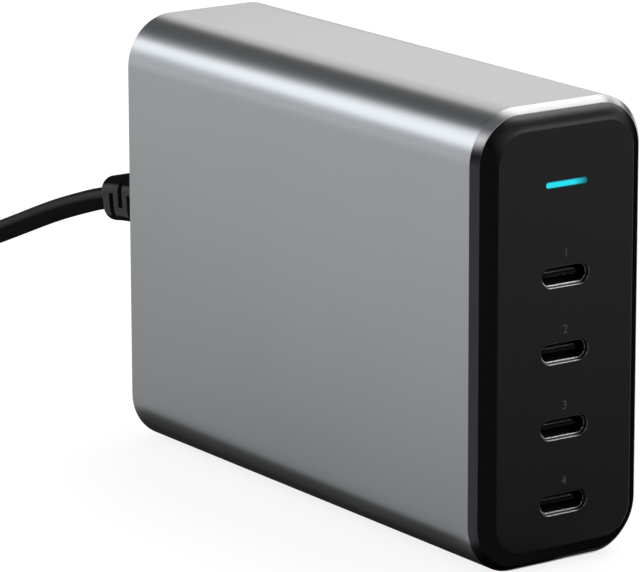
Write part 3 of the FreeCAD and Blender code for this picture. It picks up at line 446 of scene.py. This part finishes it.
def lit_bar():
    """Lit diffuser: cyan, brightest left of the middle and dimmer towards its right end and its edges."""
    finish = Finish("lit_bar", Roughness=0.4, Emission_Strength=1.0, Specular_IOR_Level=0.15)
    across = (finish.axis("Z") - BAR_Z) / (BAR_HEIGHT / 2)
    dim = finish.spread(finish.axis("X"), *BAR_DIM)
    rim = finish.spread(across * across, 0.32, 0.95)
    cloudy = finish.noise(1.4, 2.0)
    glow = finish.blend(dim, (0.004, 0.70, 0.85), (0.0, 0.07, 0.09))
    glow = finish.blend(cloudy * 0.10, glow, finish.blend(dim, (0.08, 0.84, 0.94), glow))
    finish.feed("Emission Color", finish.blend(rim, glow, (0.0, 0.06, 0.075)))
    finish.feed("Base Color", finish.blend(dim, (0.004, 0.03, 0.04), (0.004, 0.015, 0.02)))
    return finish


def port_shell():
    """Stamped shells, with a painted highlight along the bottom of each port and painted shade along its top
    and at its right end.
    """
    finish = drawn_metal("port_shell", (0.18, 0.18, 0.185), 0.22)
    # Painted light: a bright colour along the bottom of each port, and a dark one along its top and at its
    # right end.
    low = finish.spread(port_share(finish), *SHELL_SHARE) * finish.spread(finish.axis("X"), *SHELL_RIGHT)
    streaks = finish.noise(0.3)
    painted_highlight_metal = finish.blend(streaks, (0.50, 0.50, 0.505), (0.58, 0.58, 0.585))
    finish.feed("Base Color", finish.blend(low, (0.055, 0.055, 0.056), painted_highlight_metal))
    return finish


def circuit_board():
    """Solder mask over copper tracks that run in two directions."""
    finish = Finish("circuit_board", Roughness=0.35, Specular_IOR_Level=0.5)
    cells = finish.node("ShaderNodeTexBrick", {}, {
        "Vector": finish.place, "Scale": 320.0, "Color1": (0.0, 0.0, 0.0), "Color2": (1.0, 1.0, 1.0),
        "Mortar": (0.4, 0.4, 0.4)})
    patches = finish.spread(finish.noise(2.5, 1.0), 0.45, 0.55)
    finish.feed("Base Color", finish.blend(patches * 0.6, finish.blend(
        cells, (0.010, 0.075, 0.035), (0.014, 0.10, 0.048)), (0.03, 0.17, 0.08)))
    finish.feed("Normal", finish.relief(patches, 0.03))
    return finish


def wound_wire():
    """Enamelled wire, laid turn by turn."""
    finish = Finish("wound_wire", Metallic=0.9, Coat_Weight=0.6)
    turns = finish.node("ShaderNodeTexWave", {"bands_direction": "Y"}, {
        "Vector": finish.place, "Scale": 330.0, "Distortion": 0.6})
    finish.feed("Base Color", finish.blend(turns, (0.26, 0.09, 0.03), (0.74, 0.34, 0.15)))
    finish.feed("Roughness", 0.3 + finish.noise(1.0) * 0.12)
    finish.feed("Normal", finish.relief(turns, 0.12))
    return finish


def sintered():
    """Pressed and fired ferrite: grainy dark grey."""
    finish = Finish("sintered_ferrite")
    grain = finish.noise(0.35, 4.0)
    finish.feed("Base Color", finish.blend(grain, (0.035, 0.035, 0.038), (0.085, 0.085, 0.09)))
    finish.feed("Roughness", 0.6 + grain * 0.2)
    finish.feed("Normal", finish.relief(grain, 0.05))
    return finish


def hook_and_loop():
    """Woven band with a napped face."""
    finish = Finish("hook_and_loop", Roughness=0.9, Sheen_Weight=0.25)
    nap = finish.noise(0.25, 3.0)
    weave = finish.node("ShaderNodeTexVoronoi", {}, {"Vector": finish.place, "Scale": 1900.0})
    finish.feed("Base Color", finish.blend(nap, (0.010, 0.010, 0.011), (0.05, 0.05, 0.052)))
    finish.feed("Normal", finish.relief(weave + nap, 0.16))
    return finish


def smooth_jacket():
    """Extruded cord jacket: a faint orange-peel skin, dull but for a satin band along its upper side."""
    finish = Finish("cord_jacket", Specular_IOR_Level=0.0)
    skin = finish.noise(0.7, 3.0)
    handled = finish.noise(6.0, 2.0)
    finish.feed("Base Color", finish.blend(handled, (0.004, 0.004, 0.0042), (0.007, 0.007, 0.0073)))
    finish.feed("Roughness", 0.38 + handled * 0.10)
    finish.feed("Normal", finish.relief(skin, 0.012))
    up = finish.upward()
    band = finish.spread(up, 0.0, 0.25) * finish.spread(up, 0.95, 0.75)
    finish.overlay(band, Specular_IOR_Level=0.08)
    return finish


def relief_rubber():
    """The connector's rubber: satin on its sides, matte on top and underneath."""
    finish = moulded("connector_rubber", (0.005, 0.005, 0.0052), 0.48, 0.25, 0.008, 0.0)
    up = finish.upward()
    finish.overlay(finish.spread(up * up, 0.32, 0.12), Specular_IOR_Level=0.27)
    return finish


# One finish for each material slot of the record.
FINISHES = {
    "sleeve": blasted_metal("blasted_sleeve", (0.335, 0.345, 0.355), 0.30),
    "cap_plastic": cap_moulding((0.0024, 0.0024, 0.0025)),
    "shell_metal": port_shell(),
    "tongue_plastic": moulded("port_tongue", (0.003, 0.003, 0.003), 0.40, 0.15, 0.004, 0.06),
    "contact_metal": drawn_metal("gilt_contacts", (0.92, 0.86, 0.76), 0.42, streak=0.05),
    "light": lit_bar(),
    "led": moulded("light_chip", (0.80, 0.74, 0.45), 0.3, 0.3, 0.004),
    "board": circuit_board(),
    "liner": moulded("liner_sheet", (0.05, 0.05, 0.05), 0.5, 0.4, 0.01),
    "component": moulded("chip_epoxy", (0.03, 0.03, 0.03), 0.6, 0.12, 0.01),
    "filter_film": moulded("filter_box", (0.70, 0.52, 0.08), 0.4, 0.4, 0.008),
    "fuse_body": moulded("fuse_box", (0.20, 0.05, 0.03), 0.4, 0.4, 0.008),
    "ferrite": sintered(),
    "copper": wound_wire(),
    "bobbin": moulded("spool_phenolic", (0.10, 0.09, 0.08), 0.5, 0.3, 0.012),
    "can": drawn_metal("capacitor_can", (0.62, 0.63, 0.65), 0.3, "X"),
    "spreader": drawn_metal("spreader_sheet", (0.70, 0.71, 0.72), 0.32),
    "pad": moulded("silicone_pad", (0.36, 0.42, 0.52), 0.75, 0.8, 0.03),
    "inlet_plastic": moulded("inlet_moulding", (0.012, 0.012, 0.012), 0.38, 0.25, 0.006),
    "pin_metal": drawn_metal("inlet_pin", (0.70, 0.69, 0.66), 0.2),
    "connector": relief_rubber(),
    "cord": smooth_jacket(),
    "tie": hook_and_loop(),
    "plug": moulded("plug_rubber", (0.006, 0.006, 0.0062), 0.46, 0.25, 0.008, 0.40),
    "blade_metal": drawn_metal("plug_blade", (0.72, 0.70, 0.64), 0.22),
}


def add_piece(name, shape, finish, nodes=()):
    """Puts a mesh or curve in the scene on the one body, in place of the given nodes."""
    piece = put(name, shape)
    shape.materials.clear()
    shape.materials.append(finish.material)
    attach(piece, "root")
    if nodes:
        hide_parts(*nodes)
    return piece


def dress_nodes():
    """Gives every node of the CAD model the finish of its slot."""
    for subpart in frame["record"]["subparts"]:
        node = frame["nodes"][subpart["node"]]
        node.data.materials.clear()
        node.data.materials.append(FINISHES[subpart["material_slot"]].material)


def hank_route():
    """Control points of the hank's turns: four layers, wound inwards and outwards in turn.

    Each half-turn is a run along one side and a fold at its end. The fold's points are the corners of the
    polygon that touches it, so that the spline keeps the fold's radius."""
    near, far = LEAD_ROUTE[-1][1], TAIL_ROUTE[0][1]
    run = far - near
    mean_turn = (HANK_OUTER_TURN + HANK_INNER_TURN) / 2
    half_length = run + math.pi * mean_turn
    half_step = math.pi / HANK_FOLD_POINTS / 2
    flat = mean_turn * math.tan(half_step)
    points = []
    for half in range(HANK_HALF_TURNS):
        places = [("run", flat), ("run", run / 2), ("run", run - flat)]
        places += [("fold", (2 * k + 1) * half_step) for k in range(HANK_FOLD_POINTS)]
        for kind, along in places[1 if half == 0 else 0:]:
            gone = along if kind == "run" else run + along * mean_turn
            layers = HANK_LAYERS * (half + gone / half_length) / HANK_HALF_TURNS
            radius, rise = hank_place(layers)
            if kind == "run":
                x, y = -radius, near + along
            else:
                x = -radius * math.cos(along) / math.cos(half_step)
                y = far + radius * math.sin(along) / math.cos(half_step)
            if half % 2:
                x, y = -x, near + far - y
            points.append((x, y, LEAD_ROUTE[-1][2] + rise * CORD_DIAMETER))
    return points


def hank_place(layers):
    """How far out and how many layers up the cord is, after so many layers have been wound."""
    layer = min(int(layers), HANK_LAYERS - 1)
    share = layers - layer
    inward = share if layer % 2 == 0 else 1.0 - share
    rise = 0.0
    for boundary in range(1, HANK_LAYERS):
        climb = min(1.0, max(0.0, (layers - boundary + HANK_CLIMB) / (2 * HANK_CLIMB)))
        rise += climb * climb * (3.0 - 2.0 * climb)
    return HANK_OUTER_TURN + (HANK_INNER_TURN - HANK_OUTER_TURN) * inward, rise


def mains_lead():
    """The lead: out of the strain relief, down to the floor, round the hank and up to the plug on it."""
    route = LEAD_ROUTE + hank_route() + TAIL_ROUTE
    curve = bpy.data.curves.new("mains_lead", "CURVE")
    curve.dimensions = "3D"
    curve.resolution_u = CORD_STEPS
    curve.bevel_depth = CORD_DIAMETER / 2 * MM
    curve.bevel_resolution = CORD_ROUNDNESS
    curve.use_fill_caps = True
    spline = curve.splines.new("NURBS")
    spline.points.add(len(route) - 1)
    for point, place in zip(spline.points, route):
        point.co = (*(c * MM for c in place), 1.0)
    spline.order_u = 3
    spline.use_endpoint_u = True
    spline.use_smooth = True
    lead = add_piece("mains_lead", curve, FINISHES["cord"], ["power_cord", "cord_coil", "cord_tail"])


def sleeve():
    """The extruded sleeve, with its bevelled ends broken by a hair of a radius."""
    sweep = Sweep("metal_sleeve", {
        "Width": SLEEVE_WIDTH, "Height": SLEEVE_HEIGHT, "Length": SLEEVE_LENGTH, "Corner": SLEEVE_CORNER,
        "Wall": SLEEVE_WALL, "Bevel inset": BEVEL_INSET, "Bevel length": BEVEL_LENGTH, "Edge": EDGE_SOFTNESS,
        "Beside corner": CORNER_SUPPORT})
    end, bevel = sweep.size("Length") / 2, sweep.size("Bevel length")
    wall, inset = 0 - sweep.size("Wall"), 0 - sweep.size("Bevel inset")
    section = sweep.softened([(wall, 0 - end), (inset, 0 - end), (0.0, bevel - end), (0.0, end - bevel),
                              (inset, end), (wall, end)], sweep.size("Edge"))
    path = sweep.rounded_rectangle(sweep.size("Width"), sweep.size("Height"), sweep.size("Corner"),
                                   sweep.size("Beside corner"))
    finish = FINISHES["sleeve"]
    mesh = sweep.mesh(sweep.swept(path, section, sweep.size("Height") / 2), finish.material)
    add_piece("metal_sleeve", mesh, finish, ["outer_sleeve"])


def close_seams(mesh):
    """Joins the faces of a mesh where their points lie on one another."""
    joined = bmesh.new()
    joined.from_mesh(mesh)
    bmesh.ops.remove_doubles(joined, verts=joined.verts, dist=SEAM_GAP * MM)
    joined.to_mesh(mesh)
    joined.free()


def port_numbers():
    """Plain numbers 1 to 4 printed above the ports, from the top down."""
    ink = Finish("number_ink", Specular_IOR_Level=0.1, Roughness=0.6)
    ink.feed("Base Color", ink.blend(ink.noise(0.3), (0.042, 0.042, 0.044), (0.054, 0.054, 0.056)))
    for number, height in enumerate(PORT_HEIGHTS, 1):
        text = bpy.data.curves.new("port_number_%d" % number, "FONT")
        text.body = str(number)
        text.size = NUMBER_SIZE * MM
        text.align_x = "CENTER"
        text.align_y = "CENTER"
        text.extrude = NUMBER_THICKNESS / 2 * MM
        mesh = plain_mesh(put("number_text", text))
        place = Vector((0.0, FACE_Y - NUMBER_THICKNESS / 2, height + NUMBER_RISE)) * MM
        mesh.transform(Matrix.Translation(place) @ Matrix.Rotation(QUARTER_TURN, 4, "X"))
        close_seams(mesh)
        add_piece("port_number_%d" % number, mesh, ink)


def area_light(name, place, aim, size, radiance, colour=(1.0, 1.0, 1.0)):
    """A soft box (metres) of a given brightness, which the camera doesn't see."""
    light = bpy.data.lights.new(name, "AREA")
    light.shape = "RECTANGLE"
    light.size, light.size_y = size
    light.energy = math.pi * size[0] * size[1] * radiance
    light.color = colour
    lamp = put(name, light)
    lamp.location = place
    lamp.rotation_euler = (Vector(aim) - Vector(place)).to_track_quat("-Z", "Y").to_euler()
    lamp.visible_camera = False


def stage_sheet(name, points, finish):
    """One flat face that belongs to the stage."""
    mesh = bpy.data.meshes.new(name)
    mesh.from_pydata(points, [], [tuple(range(len(points)))])
    mesh.materials.append(finish.material)
    sheet = put(name, mesh)
    return sheet


def light_card(name, corners, radiance, colour=(1.0, 1.0, 1.0)):
    """A glowing card cut to shape, which the camera doesn't see.

    Its corners are given by azimuth and elevation, in degrees."""
    points = []
    for azimuth, elevation in corners:
        rise = math.radians(elevation)
        height = CARD_DISTANCE * math.sin(rise) + CARD_LIFT
        points.append(around(azimuth, CARD_DISTANCE * math.cos(rise), height))
    glow = Finish(name, Roughness=1.0, Specular_IOR_Level=0.0, Emission_Strength=radiance)
    glow.feed("Base Color", (0.0, 0.0, 0.0))
    glow.feed("Emission Color", glow.blend(glow.noise(300.0), shade(colour, 0.99), colour))
    card = stage_sheet(name, points, glow)
    card.visible_camera = False
    card.visible_shadow = False


def around(azimuth, distance, height):
    """A place round the charger: azimuth in degrees from +Y towards +X."""
    angle = math.radians(azimuth)
    return (distance * math.sin(angle), distance * math.cos(angle), height)


def studio():
    """Pale floor, pale surroundings, soft boxes and light cards."""
    corners = [(-1, -1), (1, -1), (1, 1), (-1, 1)]
    paper = Finish("floor_paper", Roughness=0.9, Specular_IOR_Level=0.0, Emission_Strength=0.83)
    paper.feed("Base Color", paper.blend(paper.noise(400.0), (0.18, 0.18, 0.18), (0.20, 0.20, 0.20)))
    paper.feed("Emission Color", (1.0, 1.0, 1.0))
    stage_sheet("floor", [(x * FLOOR_REACH, y * FLOOR_REACH, 0.0) for x, y in corners], paper)
    floor_shade()

    world = bpy.data.worlds.new("surroundings")
    bpy.context.scene.world = world
    world.use_nodes = True
    surroundings = Layout(world.node_tree)
    sky = surroundings.node("ShaderNodeBackground", {}, {"Color": SKY_COLOUR, "Strength": SKY_STRENGTH})
    surroundings.node("ShaderNodeOutputWorld", {}, {"Surface": sky})
    world.cycles_visibility.glossy = False

    light_card("back_right_card", [(27.0, 12.0), (31.0, 4.0), (64.0, 4.0), (64.0, 44.0), (4.5, 44.0)],
               1.28, (1.0, 0.98, 0.962))
    light_card("back_left_card", [(-72.0, 18.0), (-34.5, 12.6), (0.5, 12.0), (-26.5, 38.0), (-72.0, 40.0)],
               3.0, (0.96, 0.98, 1.0))
    light_card("back_card", [(-26.0, 20.0), (26.0, 20.0), (26.0, 54.0), (-26.0, 54.0)], 0.16)
    light_card("right_card", [(66.0, 14.0), (86.0, 18.0), (86.0, 50.0), (66.0, 50.0)], 2.4)
    light_card("front_top_card", [(-128.0, 48.0), (-128.0, 68.0), (-205.0, 68.0), (-205.0, 48.0)], 0.24)
    area_light("back_left_apron", around(-41.0, 2.45, 0.31), LIGHT_AIM, (3.1, 0.62), 1.0, (0.94, 0.97, 1.0))
    area_light("top_box", (1.30, 0.46, 2.2), (0.75, 0.46, 0.0), (2.3, 1.85), 3.7, (1.0, 0.985, 0.97))
    area_light("front_right_strip", around(143.5, 2.4, 1.06), LIGHT_AIM, (1.6, 0.34), 3.6)
    area_light("front_left_box", around(-126.0, 2.4, 1.67), LIGHT_AIM, (1.7, 1.15), 2.3, (1.0, 0.98, 1.0))
    light_card("front_card", [(156.0, 4.0), (218.0, 4.0), (218.0, 42.0), (160.0, 42.0)], 0.95)
    light_card("front_right_card", [(108.0, 4.0), (133.0, 4.0), (128.0, 27.0), (108.0, 27.0)], 0.9)
    area_light("right_box", around(100.0, 2.4, 0.9), LIGHT_AIM, (1.5, 0.9), 0.8)
    bpy.context.scene.view_settings.view_transform = "Standard"


def floor_shade():
    """Dark sheets on the floor that only gloss sees: painted shade in the reflections, which gives the metal
    and the cap their darker tones.

    Each has an outline, the axis it thins out along, and two places on that axis with their cover."""
    cloths = [
        ("front_cloth", [(-0.03, -0.058), (-0.05, -0.34), (0.34, -0.34), (0.06, -0.058)],
         "Y", (-0.06, 0.68), (-0.30, 0.04)),
        ("side_cloth", [(-0.017, -0.040), (-0.014, 0.6), (-0.9, 0.6), (-0.9, -0.040)],
         "X", (-0.020, 0.50), (-0.18, 0.18)),
        ("foot_cloth", [(0.002, -0.058), (0.002, 0.046), (-0.0205, 0.060), (-0.0205, -0.058)],
         "X", (-0.014, 1.0), (-0.0205, 0.82)),
        ("under_cloth", [(-0.006, -0.058), (0.0175, -0.054), (0.0155, 0.049), (-0.006, 0.049)],
         "X", (0.002, 1.0), (0.0175, 0.97)),
    ]
    for layer, (name, outline, axis, near, far) in enumerate(cloths, 1):
        shade_finish = Finish(name, Roughness=1.0, Specular_IOR_Level=0.0)
        shade_finish.feed("Base Color", shade_finish.blend(shade_finish.noise(2.0), (0.002, 0.002, 0.002), (0.004, 0.004, 0.004)))
        share = shade_finish.spread(shade_finish.axis(axis), near[0] / MM, far[0] / MM)
        shade_finish.feed("Alpha", near[1] + share * (far[1] - near[1]))
        cloth = stage_sheet(name, [(x, y, layer * CLOTH_LIFT) for x, y in outline], shade_finish)
        cloth.visible_camera = False
        cloth.visible_diffuse = False
        cloth.visible_shadow = False


def camera():
    """The photograph's viewpoint."""
    lens = bpy.data.cameras.new("photo_camera")
    lens.lens = VIEW_LENS
    lens.sensor_width = VIEW_SENSOR
    lens.clip_start = VIEW_NEAREST
    eye = put("photo_camera", lens)
    back = Vector((math.sin(VIEW_AZIMUTH) * math.cos(VIEW_ELEVATION),
                   -math.cos(VIEW_AZIMUTH) * math.cos(VIEW_ELEVATION), math.sin(VIEW_ELEVATION)))
    level = Vector((math.cos(VIEW_AZIMUTH), math.sin(VIEW_AZIMUTH), 0.0))
    upright = back.cross(level)
    right = level * math.cos(VIEW_ROLL) + upright * math.sin(VIEW_ROLL)
    up = upright * math.cos(VIEW_ROLL) - level * math.sin(VIEW_ROLL)
    place = Matrix((right, up, back)).transposed().to_4x4()
    place.translation = VIEW_AIM + back * VIEW_DISTANCE
    eye.matrix_world = place
    bpy.context.scene.camera = eye


camera()
dress_nodes()
mains_lead()
sleeve()
port_numbers()
studio()
